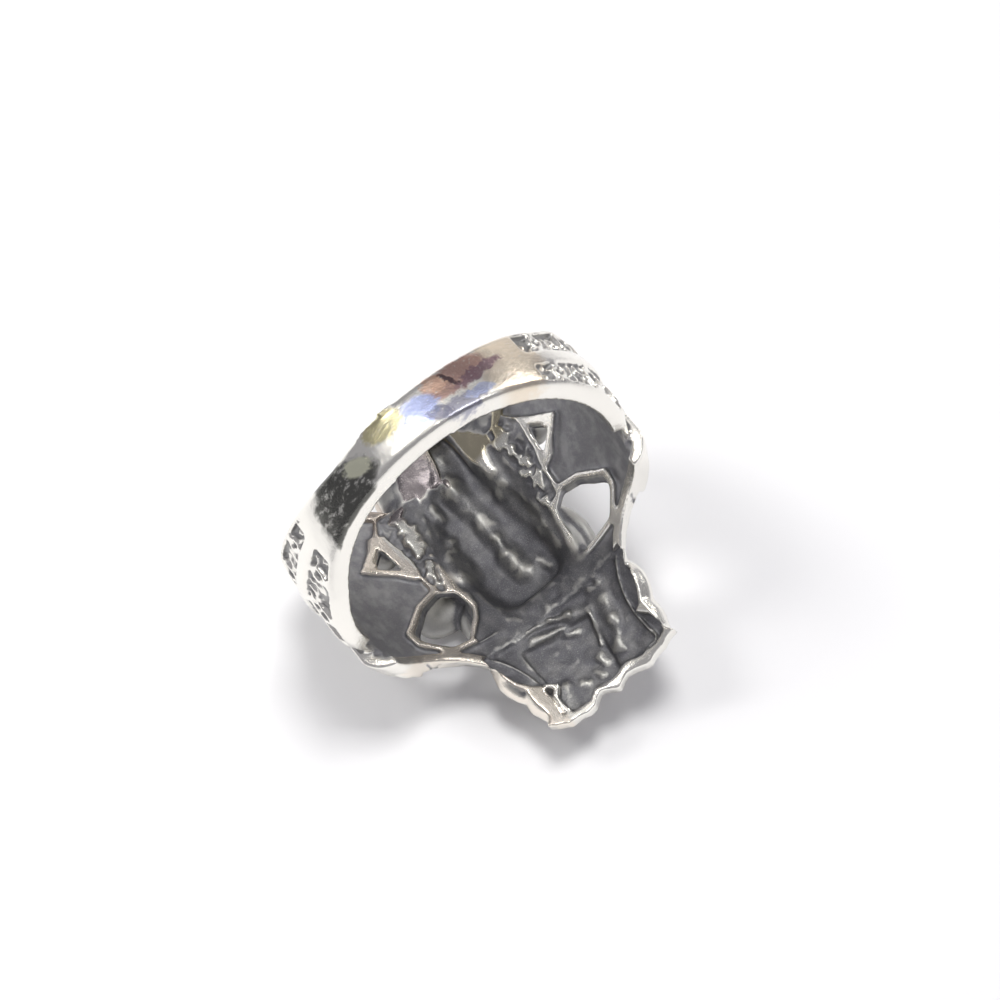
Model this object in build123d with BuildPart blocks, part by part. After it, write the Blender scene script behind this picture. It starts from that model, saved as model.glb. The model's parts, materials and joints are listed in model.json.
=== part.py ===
from build123d import *
from collections import namedtuple
from math import cos, radians, sin, sqrt
import os

# A cast silver finger ring whose front is the head of Ganesha, hollow behind.
#
# The ring is drawn face up: X runs from ear to ear, Y along the finger with the
# crown at +Y and the trunk at -Y, and Z outward through the face. The finger's
# axis is Y, through the origin. Angles round the finger start at the face and
# grow towards +X. At the end the ring is turned face down and leans over onto
# its trunk, long tusk and crown jewel, as it lies on a table. All sizes are in
# millimetres.

# Finger hole and band. What stands round the hole starts inside it, each thing at
# its own depth, and the hole is cut last.
bore_radius = 9.9
bore_stock = 0.5
band_wall = 1.6
band_rim_wall = 0.95
side_half_width = 3.37
back_half_width = 1.5
band_end_height = 3.2
band_rim_round = 0.45

# Panels sunk into the two shoulders of the band
panel_start_angle = 76.0
panel_end_angle = 131.5
panel_depth = 0.5
panel_border = 0.35
panel_bar_half_width = 0.5
scroll_count = 3
scroll_wire = 0.3
scroll_gap = 0.12
scroll_rise = 0.3

# Head plate, the wall that carries ears, face and crown round the finger, and how
# far it laps the ends of the band
plate_wall = 1.2
plate_lap = 0.3
neck_side = 5.6
neck_along = 7.3

# Ears
ear_side = 11.3
ear_crown_reach = 5.5
ear_trunk_reach = 6.6
ear_rim_rise = 0.55
ear_rim_width = 0.85
ear_rib_radius = 0.6
ear_rib_sink = 0.2

# Face
face_half_width = 4.3
face_rise = 3.9
face_crown_reach = 6.4
face_trunk_reach = 5.2
brow_dome_radius = 3.0
brow_dome_side = 1.5
brow_dome_along = 3.4
brow_dome_rise = 1.0
cast_wall = 1.15

# Corners of the face's and trunk's sections, as a share of the smaller half size
section_corner_share = 0.85

# Trunk
trunk_reach = 9.7
trunk_half_width = 2.45
trunk_rise = 4.9
trunk_sway = 1.3
trunk_ring_width = 0.45
trunk_ring_rise = 0.17

# Eyes
eye_radius = 0.65
eye_side = 3.1
eye_along = 0.9
eye_rise = 2.75
eye_angle = 38.0
eye_lid_wire = 0.22

# Tusks, of which the one on the +X side is broken off short
tusk_root_side = 3.3
tusk_root_along = 2.2
tusk_root_rise = 2.3
tusk_length = 5.2
tusk_radius = 0.8
tusk_tip_radius = 0.4
tusk_spread_angle = 50.0
broken_tusk_length = 2.9

# Crown
crown_root = 6.0
crown_tip = 13.6
crown_half_width = 5.1
crown_waist_half_width = 4.5
crown_band_width = 1.3
crown_band_rise = 2.9
crown_band_half_angle = 27.0
crown_bead_count = 9
crown_bead_radius = 0.5
crown_leaf_radius = 1.6
crown_leaf_sink = 0.3
crown_leaf_edge = 0.35
side_leaf_radius = 1.0
side_leaf_root_side = 5.3
side_leaf_root_along = 6.9
side_leaf_tip_side = 4.55
side_leaf_tip_along = 11.0
crown_jewel_radius = 1.6
crown_jewel_along = 9.6
crown_jewel_rise = 3.0
crown_jewel_collar_rise = 2.2
crown_jewel_collar_wire = 0.45

# Hollows and openings seen from inside the ring
rim_width = 0.7
hollow_depth = 0.45
hollow_end_height = 1.4
frame_width = 0.42
strip_corners = [(3.7, -5.6), (5.3, -5.6), (6.1, -4.5), (5.4, -0.4), (5.2, 1.5), (3.9, 1.5)]
hole_corner_round = 0.25
channel_end = 4.6
crown_hollow_root = 6.6
crown_hollow_border = 0.7
crown_hollow_depth = 0.75
crown_pocket_depth = 1.05
crown_pocket_corners = [(-3.5, 7.4), (1.5, 8.1), (0.9, 12.5), (-3.3, 12.5)]

# How far the ring leans from straight face down, onto its long tusk
lean_angle = 18.0

# How close two places have to be to count as one
near = 0.01

outer_radius = bore_radius + band_wall
plate_radius = bore_radius + plate_wall
ear_radius = plate_radius + ear_rim_rise
band_end_half_width = side_half_width + (side_half_width - back_half_width) * band_end_height / bore_radius

# Sections of the face, crown side first: where along the finger, as a share of
# the reach on that side, then shares of the face's half width and rise
FaceSection = namedtuple("FaceSection", "reach along half_width rise")
face_sections = [
    FaceSection(face_crown_reach, 1.0, 0.66, 0.55),
    FaceSection(face_crown_reach, 0.75, 0.8, 0.8),
    FaceSection(face_crown_reach, 0.45, 0.93, 0.95),
    FaceSection(face_crown_reach, 0.12, 1.0, 1.0),
    FaceSection(face_trunk_reach, -0.25, 0.96, 0.96),
    FaceSection(face_trunk_reach, -0.65, 0.8, 0.85),
    FaceSection(face_trunk_reach, -1.0, 0.58, 0.66),
]

# Sections of the trunk from the brow to the curled tip: its centre line as
# shares of the reach and the sway, its half width as a share of the trunk's, and
# its front and underside above the finger as shares of the trunk's rise
TrunkSection = namedtuple("TrunkSection", "along side half_width front underside")
trunk_sections = [
    TrunkSection(0.1, 0.0, 1.0, 0.8, -0.5),
    TrunkSection(-0.22, 0.05, 1.0, 0.92, -0.5),
    TrunkSection(-0.46, 0.4, 0.9, 0.98, -0.5),
    TrunkSection(-0.68, 0.7, 0.8, 1.0, -0.45),
    TrunkSection(-0.87, 0.6, 0.68, 0.97, -0.2),
    TrunkSection(-1.0, -0.15, 0.57, 0.9, 0.0),
    TrunkSection(-1.03, -1.15, 0.47, 0.82, 0.14),
    TrunkSection(-0.94, -2.0, 0.4, 0.74, 0.24),
    TrunkSection(-0.82, -2.2, 0.35, 0.68, 0.3),
]
first_curled_section = 5

# Points of the ear's outline on the +X side, as shares of the ear's side and of
# its reach towards the crown, or towards the trunk where negative. A bend is the
# point that the edge bows through between its neighbours.
EarPoint = namedtuple("EarPoint", "side along")
ear_points = {
    "shoulder bend": EarPoint(0.66, 1.06),
    "top": EarPoint(0.8, 1.0),
    "top bend": EarPoint(0.92, 0.94),
    "lobe corner bend": EarPoint(0.91, -0.89),
    "lobe": EarPoint(0.76, -1.0),
    "lobe bend": EarPoint(0.56, -1.03),
    "cheek": EarPoint(0.39, -0.85),
    "cheek bend": EarPoint(0.36, -0.38),
    "root": EarPoint(0.39, 0.13),
    "root bend": EarPoint(0.6, 0.27),
    "fold": EarPoint(0.735, 0.64),
}

# Corners of the holes on the +X side, as shares in the same way
cheek_corners = [EarPoint(0.53, -0.7), EarPoint(0.72, -0.34), EarPoint(0.47, -0.08)]
temple_corners = [
    EarPoint(0.37, 0.31),
    EarPoint(0.46, 0.2),
    EarPoint(0.57, 0.3),
    EarPoint(0.69, 0.58),
    EarPoint(0.68, 0.72),
    EarPoint(0.57, 0.92),
    EarPoint(0.3, 0.92),
    EarPoint(0.31, 0.74),
]

# Ribs that fan across the ears: angles round the finger from root to tip, and
# where each end lies along it, as shares of the reach of the ear's lobe
EarRib = namedtuple("EarRib", "start_angle end_angle root tip")
ear_ribs = [
    EarRib(30, 47, -0.72, -0.86),
    EarRib(45, 67, -0.42, -0.55),
    EarRib(46, 70, -0.1, -0.12),
    EarRib(46, 69, 0.25, 0.32),
]

# Points and notches of the crown's end, as shares of its half width and reach
CrownPoint = namedtuple("CrownPoint", "side along")
crown_points = [CrownPoint(0.0, 0.985), CrownPoint(0.5, 0.975), CrownPoint(1.0, 1.0)]
crown_notches = [CrownPoint(0.26, 0.955), CrownPoint(0.75, 0.955)]


def band_half_width(height):
    """Half the band's width, which tapers from the head to the back of the finger."""
    return side_half_width + (band_end_half_width - side_half_width) * height / band_end_height


def radial_plane(angle, along, radius):
    """A plane facing outwards at an angle round the finger, its Y along the finger."""
    across = sin(radians(angle))
    up = cos(radians(angle))
    return Plane(origin=(radius * across, along, radius * up), x_dir=(up, 0, -across), z_dir=(across, 0, up))


def cutting_plane(angle):
    """A plane through the finger's axis, its X outwards at an angle and its Y along."""
    across = sin(radians(angle))
    up = cos(radians(angle))
    return Plane(origin=(0, 0, 0), x_dir=(across, 0, up), z_dir=(-up, 0, across))


def make_hoop(inner, outer, low, high, start=0, arc=360):
    """A hoop or part of one round the finger, between two places along it."""
    with BuildPart() as hoop:
        with BuildSketch(cutting_plane(start)):
            with Locations(((inner + outer) / 2, (low + high) / 2)):
                Rectangle(outer - inner, high - low)
        revolve(axis=Axis.Y, revolution_arc=arc)
    return hoop.part


def dome_lines(sink, closing_radius):
    """The band's domed outer line, lowered by sink and closed at another radius."""
    rim = bore_radius + band_rim_wall - sink
    end = band_end_half_width
    ThreePointArc((rim, end), (outer_radius - sink, 0), (rim, -end))
    Polyline((rim, -end), (closing_radius, -end), (closing_radius, end), (rim, end))


def is_outer_rim(edge):
    """Whether an edge is where the band's outside meets one of its tapered sides."""
    middle = edge @ 0.5
    on_side = abs(abs(middle.Y) - band_half_width(middle.Z)) < near
    outside = sqrt(middle.X**2 + middle.Z**2) > bore_radius + band_rim_wall / 2
    return on_side and outside and middle.Z < band_end_height - near


def make_band():
    """The band: a domed hoop with tapered sides, open where the head goes on."""
    lowest = -outer_radius
    with BuildPart() as band:
        with BuildSketch(Plane.XY):
            with BuildLine():
                dome_lines(0, bore_radius - bore_stock)
            make_face()
        revolve(axis=Axis.Y)
        with BuildSketch(Plane.YZ):
            with BuildLine():
                Polyline(
                    (-band_half_width(lowest), lowest),
                    (band_half_width(lowest), lowest),
                    (band_end_half_width, band_end_height),
                    (-band_end_half_width, band_end_height),
                    close=True,
                )
            make_face()
        extrude(amount=outer_radius, both=True, mode=Mode.INTERSECT)
        fillet(band.edges().filter_by(is_outer_rim), band_rim_round)
    return band.part


def make_panel_cutter():
    """The four sunk panels, beside a bar along the middle of each shoulder."""
    low = outer_radius * cos(radians(panel_end_angle))
    high = outer_radius * cos(radians(panel_start_angle))
    with BuildPart() as cutter:
        with BuildSketch(cutting_plane(panel_start_angle)):
            with BuildLine():
                dome_lines(panel_depth, outer_radius + panel_depth)
            make_face()
        revolve(axis=Axis.Y, revolution_arc=panel_end_angle - panel_start_angle)
        with BuildSketch(Plane.YZ):
            with BuildLine():
                Polyline(
                    (panel_bar_half_width, low),
                    (band_half_width(low) - panel_border, low),
                    (band_half_width(high) - panel_border, high),
                    (panel_bar_half_width, high),
                    close=True,
                )
            make_face()
        extrude(amount=2 * outer_radius, mode=Mode.INTERSECT)
        mirror(about=Plane.XZ)
        mirror(about=Plane.YZ)
    return cutter.part


def make_scrolls():
    """Cast scroll loops standing on the floors of the panels, larger towards the head."""
    step = (panel_end_angle - panel_start_angle) / scroll_count
    with BuildPart() as scrolls:
        for index in range(scroll_count):
            angle = panel_start_angle + (index + 0.5) * step
            edge = band_half_width(outer_radius * cos(radians(angle))) - panel_border
            along = (panel_bar_half_width + edge) / 2
            loop_radius = (edge - panel_bar_half_width) / 2 - scroll_gap
            seats = [
                radial_plane(side, end, bore_radius + band_rim_wall - panel_depth)
                for side in (-angle, angle)
                for end in (-along, along)
            ]
            with BuildSketch(*seats):
                Circle(loop_radius)
                Circle(loop_radius - scroll_wire, mode=Mode.SUBTRACT)
            extrude(amount=band_wall - band_rim_wall + scroll_rise)
    return scrolls.part


def crown_lines():
    """The +X half of the crown's outline, from its middle point to the neck."""
    tips = [(crown_half_width * tip.side, crown_tip * tip.along) for tip in crown_points]
    notches = [(crown_half_width * notch.side, crown_tip * notch.along) for notch in crown_notches]
    for index, notch in enumerate(notches):
        ThreePointArc(tips[index], notch, tips[index + 1])
    waist = (crown_waist_half_width, (crown_tip + crown_root) / 2)
    ThreePointArc(tips[-1], waist, (neck_side, neck_along))


def sketch_point(point):
    """A point given as shares of the ear's size, as a point of a sketch."""
    reach = ear_crown_reach if point.along > 0 else ear_trunk_reach
    return (point.side * ear_side, point.along * reach)


def ear_point(name):
    """A named point of the ear's outline, as a point of a sketch."""
    return sketch_point(ear_points[name])


def ear_outer_lines():
    """The ear's outer edge, from its top past the band and round the lobe to the cheek."""
    band_corner = (ear_side, band_end_half_width)
    lower_corner = (ear_side, -band_end_half_width)
    ThreePointArc(ear_point("top"), ear_point("top bend"), band_corner)
    Line(band_corner, lower_corner)
    ThreePointArc(lower_corner, ear_point("lobe corner bend"), ear_point("lobe"))
    ThreePointArc(ear_point("lobe"), ear_point("lobe bend"), ear_point("cheek"))


def ear_inner_lines():
    """The ear's edge beside the face, from the cheek up to the ear's top."""
    ThreePointArc(ear_point("cheek"), ear_point("cheek bend"), ear_point("root"))
    ThreePointArc(ear_point("root"), ear_point("root bend"), ear_point("fold"))
    Line(ear_point("fold"), ear_point("top"))


def shoulder_lines():
    """The edge from the neck to the top of the ear, on the crown side."""
    ThreePointArc((neck_side, neck_along), ear_point("shoulder bend"), ear_point("top"))


def head_lines():
    """The whole outline of the head: crown, shoulders, ears and cheeks."""
    cheek_side, cheek_along = ear_point("cheek")
    crown_lines()
    shoulder_lines()
    ear_outer_lines()
    Line((cheek_side, cheek_along), (0, cheek_along))
    mirror(about=Plane.YZ)


def hole_points(corners):
    """Corners of a hole on the +X side as points of a sketch."""
    return [sketch_point(corner) for corner in corners]


def make_holes():
    """Pierced holes: a small triangle at each cheek and a large one at each temple."""
    with BuildPart() as holes:
        with BuildSketch(Plane.XY) as cheek:
            Polygon(*hole_points(cheek_corners), align=None)
            offset(amount=-frame_width)
        with BuildSketch(Plane.XY) as temple:
            Polygon(*hole_points(temple_corners), align=None)
            fillet(temple.vertices(), hole_corner_round)
        extrude(cheek.sketch, amount=outer_radius)
        extrude(temple.sketch, amount=outer_radius)
        mirror(about=Plane.YZ)
    return holes.part


def make_plate():
    """The wall round the finger that carries ears, face and crown, with its holes."""
    with BuildPart() as plate:
        with BuildSketch(Plane.XY.offset(band_end_height - plate_lap)):
            with BuildLine():
                head_lines()
            make_face()
        extrude(amount=outer_radius)
        wall = make_hoop(bore_radius - 2 * bore_stock, plate_radius, -crown_tip, crown_tip)
        add(wall, mode=Mode.INTERSECT)
        add(make_holes(), mode=Mode.SUBTRACT)
    return plate.part


def make_head_hollow():
    """The shallow hollow behind the head. Its rim, the holes' frames and a strip each side stand."""
    with BuildPart() as hollow:
        with BuildSketch(Plane.XY) as left_standing:
            Polygon(*hole_points(temple_corners), align=None)
            offset(amount=frame_width)
            Polygon(*hole_points(cheek_corners), align=None)
            Polygon(*strip_corners, align=None)
            mirror(about=Plane.YZ)
        with BuildSketch(Plane.XY.offset(hollow_end_height)) as inside:
            with BuildLine():
                head_lines()
            make_face()
            offset(amount=-rim_width)
            add(left_standing.sketch, mode=Mode.SUBTRACT)
        extrude(inside.sketch, amount=outer_radius)
        floor = bore_radius + hollow_depth
        add(make_hoop(bore_radius / 2, floor, -crown_tip, crown_tip), mode=Mode.INTERSECT)
    return hollow.part


def make_leaf(root, tip, radius):
    """A leaf or rib: an arc spun about the line from its root to its tip."""
    direction = tip - root
    with BuildPart() as leaf:
        with BuildSketch(Plane(origin=root, x_dir=direction, z_dir=direction.cross(Vector(0, 0, 1)))):
            with BuildLine():
                ThreePointArc((0, 0), (direction.length / 2, radius), (direction.length, 0))
                Line((direction.length, 0), (0, 0))
            make_face()
        revolve(axis=Axis(root, direction))
    return leaf.part


def make_ears():
    """Raised rims round the ears and the ribs that fan across them."""
    with BuildPart() as ears:
        with BuildSketch(Plane.XY.offset(band_end_height - 2 * plate_lap)):
            with BuildLine():
                ear_outer_lines()
                ear_inner_lines()
            make_face()
            offset(amount=-ear_rim_width, mode=Mode.SUBTRACT)
        extrude(amount=outer_radius)
        wall = make_hoop(bore_radius - bore_stock / 2, ear_radius, -crown_tip, crown_tip)
        add(wall, mode=Mode.INTERSECT)
        rib_seat = plate_radius - ear_rib_sink
        for rib in ear_ribs:
            root = radial_plane(rib.start_angle, rib.root * ear_trunk_reach, rib_seat).origin
            tip = radial_plane(rib.end_angle, rib.tip * ear_trunk_reach, rib_seat).origin
            add(make_leaf(root, tip, ear_rib_radius))
        mirror(about=Plane.YZ)
    return ears.part


def rounded_section(half_width, half_height):
    """A rounded cross-section of the face or trunk."""
    corner = section_corner_share * min(half_width, half_height)
    RectangleRounded(2 * half_width, 2 * half_height, corner)


def make_face_body(wall):
    """The face as one smooth body, made smaller all round by a wall."""
    with BuildPart() as face:
        for section in face_sections:
            half_width = face_half_width * section.half_width - wall
            rise = face_rise * section.rise - wall
            with BuildSketch(Plane.XZ.offset(-section.reach * section.along)):
                with Locations((0, bore_radius)):
                    rounded_section(half_width, rise)
        loft()
    return face.part


def trunk_station(index):
    """The plane of one trunk section, square to the trunk's centre line."""
    before = trunk_sections[max(index - 1, 0)]
    after = trunk_sections[min(index + 1, len(trunk_sections) - 1)]
    section = trunk_sections[index]
    across = (after.side - before.side) * trunk_sway
    along = (after.along - before.along) * trunk_reach
    middle = bore_radius + (section.front + section.underside) / 2 * trunk_rise
    return Plane(
        origin=(section.side * trunk_sway, section.along * trunk_reach, middle),
        x_dir=(-along, across, 0),
        z_dir=(across, along, 0),
    )


def trunk_section_sketch(index, growth):
    """One cross-section of the trunk, grown or shrunk all round."""
    section = trunk_sections[index]
    half_width = trunk_half_width * section.half_width + growth
    half_height = (section.front - section.underside) / 2 * trunk_rise + growth
    rounded_section(half_width, half_height)


def make_trunk(count, growth):
    """The trunk through its first sections, grown or shrunk all round."""
    with BuildPart() as trunk:
        for index in range(count):
            with BuildSketch(trunk_station(index)):
                trunk_section_sketch(index, growth)
        loft()
    return trunk.part


def make_trunk_rings():
    """Wrinkle rings round the trunk below the tusks."""
    with BuildPart() as rings:
        for index in range(2, len(trunk_sections) - 1):
            with BuildSketch(trunk_station(index)):
                trunk_section_sketch(index, trunk_ring_rise)
            extrude(amount=trunk_ring_width / 2, both=True)
    return rings.part


def make_eyes():
    """Eyeballs with a raised lid round each."""
    with BuildPart() as eyes:
        slant = radians(eye_angle)
        seat = Plane(origin=(eye_side, eye_along, bore_radius + eye_rise), z_dir=(sin(slant), 0, cos(slant)))
        with Locations(seat):
            Sphere(eye_radius)
        with Locations(seat.offset(eye_lid_wire)):
            Torus(eye_radius, eye_lid_wire)
        mirror(about=Plane.YZ)
    return eyes.part


def make_tusk(side, length):
    """A tusk from the cheek, spreading towards one side, with a round tip."""
    spread = radians(tusk_spread_angle)
    direction = Vector(side * sin(spread), -cos(spread), 0)
    root = Vector(side * tusk_root_side, -tusk_root_along, bore_radius + tusk_root_rise)
    end_radius = tusk_radius + (tusk_tip_radius - tusk_radius) * length / tusk_length
    with BuildPart() as tusk:
        with Locations(Plane(origin=root, z_dir=direction)):
            Cone(tusk_radius, end_radius, length, align=(Align.CENTER, Align.CENTER, Align.MIN))
        with Locations(root + direction * length):
            Sphere(end_radius)
    return tusk.part


def plate_place(side, along):
    """A place just under the outside of the head plate."""
    seat_radius = plate_radius - crown_leaf_sink
    return Vector(side, along, sqrt(seat_radius**2 - side**2))


def make_crown():
    """The crown: a beaded band over the brow, a fan of leaves, one down each side, and a jewel."""
    band_start = bore_radius - 1.5 * bore_stock
    band_top = bore_radius + crown_band_rise
    band_end = crown_root + crown_band_width
    band_middle = (crown_root + band_end) / 2
    half_angle = crown_band_half_angle
    with BuildPart() as crown:
        add(make_hoop(band_start, band_top, crown_root, band_end, -half_angle, 2 * half_angle))
        for index in range(crown_bead_count):
            angle = half_angle * (2 * (index + 0.5) / crown_bead_count - 1)
            with Locations(radial_plane(angle, band_middle, band_top)):
                Sphere(crown_bead_radius)
        for point in crown_points:
            for side in sorted({-point.side, point.side}):
                tip_side = side * (crown_half_width - crown_leaf_edge)
                tip = plate_place(tip_side, crown_tip * point.along - crown_leaf_edge)
                add(make_leaf(plate_place(tip_side / 2, band_middle), tip, crown_leaf_radius))
        for side in (-1, 1):
            root = plate_place(side * side_leaf_root_side, side_leaf_root_along)
            tip = plate_place(side * side_leaf_tip_side, side_leaf_tip_along)
            add(make_leaf(root, tip, side_leaf_radius))
        with Locations((0, crown_jewel_along, bore_radius + crown_jewel_rise)):
            Sphere(crown_jewel_radius)
        with Locations((0, crown_jewel_along, bore_radius + crown_jewel_collar_rise)):
            Torus(crown_jewel_radius, crown_jewel_collar_wire)
    return crown.part


def make_crown_hollow():
    """The deeper hollow behind the crown, with a tapered pocket in its middle."""
    root = crown_hollow_root - crown_hollow_border
    floor = bore_radius + crown_hollow_depth
    pocket_floor = bore_radius + crown_pocket_depth
    with BuildPart() as pocket:
        with BuildSketch(Plane.XY.offset(bore_radius / 2)):
            Polygon(*crown_pocket_corners, align=None)
        extrude(amount=outer_radius)
        add(make_hoop(bore_radius / 2, pocket_floor, -crown_tip, crown_tip), mode=Mode.INTERSECT)
    with BuildPart() as hollow:
        with BuildSketch(Plane.XY):
            with BuildLine():
                crown_lines()
                Polyline((neck_side, neck_along), (neck_side, root), (0, root))
                mirror(about=Plane.YZ)
            make_face()
            offset(amount=-crown_hollow_border)
        extrude(amount=outer_radius)
        add(make_hoop(bore_radius / 2, floor, -crown_tip, crown_tip), mode=Mode.INTERSECT)
        add(pocket.part)
    return hollow.part


def make_channel():
    """The hollow behind face and trunk, open to the finger and closed below the crown."""
    with BuildPart() as channel:
        add(make_face_body(cast_wall))
        split(bisect_by=Plane.XZ.offset(-channel_end), keep=Keep.TOP)
        add(make_trunk(first_curled_section, -cast_wall))
    return channel.part


with BuildPart() as upright_ring:
    add(make_band())
    add(make_panel_cutter(), mode=Mode.SUBTRACT)
    add(make_scrolls())
    add(make_plate())
    add(make_ears())
    add(make_face_body(0))
    add(make_trunk(len(trunk_sections), 0))
    add(make_trunk_rings())
    for side in (-brow_dome_side, brow_dome_side):
        with Locations((side, brow_dome_along, bore_radius + brow_dome_rise)):
            Sphere(brow_dome_radius)
    add(make_eyes())
    add(make_tusk(-1, tusk_length))
    add(make_tusk(1, broken_tusk_length))
    add(make_crown())
    add(make_head_hollow(), mode=Mode.SUBTRACT)
    add(make_channel(), mode=Mode.SUBTRACT)
    add(make_crown_hollow(), mode=Mode.SUBTRACT)
    Cylinder(bore_radius, 2 * (crown_tip + trunk_reach), rotation=(90, 0, 0), mode=Mode.SUBTRACT)

# Turned face down, crown towards -Y, leaned over and set down on the surface
lying = Rot(0, -lean_angle, 0) * Rot(180, 0, 0) * upright_ring.part
box = lying.bounding_box()
middle = box.center()

with BuildPart() as ganesha_ring:
    add(Pos(-middle.X, -middle.Y, -box.min.Z) * lying)

ganesha_ring.part.label = "ganesha_ring"

os.makedirs("parts", exist_ok=True)
export_step(ganesha_ring.part, "parts/ganesha_ring.step")
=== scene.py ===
import json
import math
import bmesh
import bpy
import numpy as np
from collections import namedtuple
from mathutils import Matrix, Vector, noise


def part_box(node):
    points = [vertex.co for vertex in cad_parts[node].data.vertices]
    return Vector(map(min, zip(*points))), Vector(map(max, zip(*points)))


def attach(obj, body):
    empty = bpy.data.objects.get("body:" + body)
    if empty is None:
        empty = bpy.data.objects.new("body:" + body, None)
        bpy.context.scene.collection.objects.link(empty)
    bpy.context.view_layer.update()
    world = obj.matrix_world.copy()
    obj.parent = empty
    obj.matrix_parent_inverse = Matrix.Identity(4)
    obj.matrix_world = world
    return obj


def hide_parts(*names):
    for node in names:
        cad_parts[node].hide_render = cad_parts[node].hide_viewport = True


# A worn silver ring whose head is Ganesha, lying face down. It is shaped in the ring's own upright
# drawing: millimetres, X from ear to ear, Y along the finger with the crown at +Y, Z out through the
# face. At the end it is laid down onto the frame's ring.
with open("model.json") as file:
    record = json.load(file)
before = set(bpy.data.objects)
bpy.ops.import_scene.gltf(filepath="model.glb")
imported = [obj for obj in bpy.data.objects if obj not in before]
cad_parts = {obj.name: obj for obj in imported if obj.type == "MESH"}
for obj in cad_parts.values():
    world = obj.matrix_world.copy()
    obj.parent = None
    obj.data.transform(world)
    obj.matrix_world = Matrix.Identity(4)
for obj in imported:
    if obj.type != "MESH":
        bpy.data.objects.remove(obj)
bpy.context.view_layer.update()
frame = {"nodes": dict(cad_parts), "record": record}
mm = 0.001

lying = {"lean": 18.0, "crownTip": 13.6}  # degrees from straight face down; crown's end along the finger
hole = frame["record"]["mounts"][0]
boreRadius = hole["dims"]["r_mm"]
lowCorner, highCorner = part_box("ganesha_ring")
holeCentre = Vector((hole["pos_m"][0], lowCorner.y + lying["crownTip"] * mm, hole["pos_m"][2]))
laidDown = (
    Matrix.Translation(holeCentre)
    @ Matrix.Rotation(-math.radians(lying["lean"]), 4, "Y")
    @ Matrix.Rotation(math.pi, 4, "X")
    @ Matrix.Scale(mm, 4)
)


class Wire:
    # a number or vector on its way through a material; sums and products of it add maths nodes
    def __init__(self, finish, socket):
        self.finish = finish
        self.socket = socket

    def __add__(self, other):
        return self.finish.maths("ADD", self, other)

    def __radd__(self, other):
        return self.finish.maths("ADD", other, self)

    def __sub__(self, other):
        return self.finish.maths("SUBTRACT", self, other)

    def __rsub__(self, other):
        return self.finish.maths("SUBTRACT", other, self)

    def __mul__(self, other):
        return self.finish.maths("MULTIPLY", self, other)

    def __rmul__(self, other):
        return self.finish.maths("MULTIPLY", other, self)

    def __truediv__(self, other):
        return self.finish.maths("DIVIDE", self, other)


class Finish:
    # a material under construction
    def __init__(self, name):
        self.material = bpy.data.materials.new(name)
        self.material.use_nodes = True
        self.tree = self.material.node_tree
        self.tree.nodes.clear()

    def node(self, kind, settings, sockets, output=0):
        made = self.tree.nodes.new(kind)
        for key, value in settings.items():
            setattr(made, key, value)
        for key, value in sockets.items():
            if isinstance(value, Wire):
                self.tree.links.new(value.socket, made.inputs[key])
            else:
                made.inputs[key].default_value = value
        return Wire(self, made.outputs[output]) if made.outputs else None

    def maths(self, operation, first, second=0.0):
        return self.node("ShaderNodeMath", {"operation": operation}, {0: first, 1: second})

    def vectorMaths(self, operation, first, second, output=0):
        return self.node("ShaderNodeVectorMath", {"operation": operation}, {0: first, 1: second}, output)

    def between(self, value, low, high, fromValue=0.0, toValue=1.0):
        settings = {"clamp": True, "interpolation_type": "SMOOTHSTEP"}
        sockets = {"Value": value, "From Min": low, "From Max": high, "To Min": fromValue, "To Max": toValue}
        return self.node("ShaderNodeMapRange", settings, sockets)

    def mix(self, factor, first, second):
        return self.node("ShaderNodeMix", {"data_type": "RGBA"}, {0: factor, 6: first, 7: second}, 2)

    def noise(self, place, scale, detail=4.0, roughness=0.55):
        sockets = {"Vector": place, "Scale": scale, "Detail": detail, "Roughness": roughness}
        return self.node("ShaderNodeTexNoise", {}, sockets)

    def attribute(self, name, output=2):
        return self.node("ShaderNodeAttribute", {"attribute_name": name}, {}, output)

    def parts(self, vector):
        return [self.node("ShaderNodeSeparateXYZ", {}, {0: vector}, axis) for axis in range(3)]

    def vector(self, x, y, z):
        return self.node("ShaderNodeCombineXYZ", {}, {0: x, 1: y, 2: z})

    def bump(self, height, strength, distance, normal=None):
        sockets = {"Height": height, "Strength": strength, "Distance": distance}
        if normal:
            sockets["Normal"] = normal
        return self.node("ShaderNodeBump", {}, sockets)

    def surface(self, shader):
        self.node("ShaderNodeOutputMaterial", {}, {"Surface": shader})
        return self.material


def objectFrom(name, mesh):
    made = bpy.data.objects.new(name, mesh)
    bpy.context.scene.collection.objects.link(made)
    return made


def applied(thing):
    # the mesh with its modifiers applied
    bpy.context.view_layer.update()
    graph = bpy.context.evaluated_depsgraph_get()
    mesh = bpy.data.meshes.new_from_object(thing.evaluated_get(graph), depsgraph=graph)
    thing.modifiers.clear()
    thing.data = mesh
    return thing


casting = {
    "weld": 1e-7,  # metres
    "lumpSubdivisions": 4,
    "voxel": 0.11,  # mm
    "fineVoxel": 0.095,
    "settle": 3,  # rounds of smoothing after the remesh
    "fineSettle": 1,
    "triangles": 190000,
}

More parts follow.
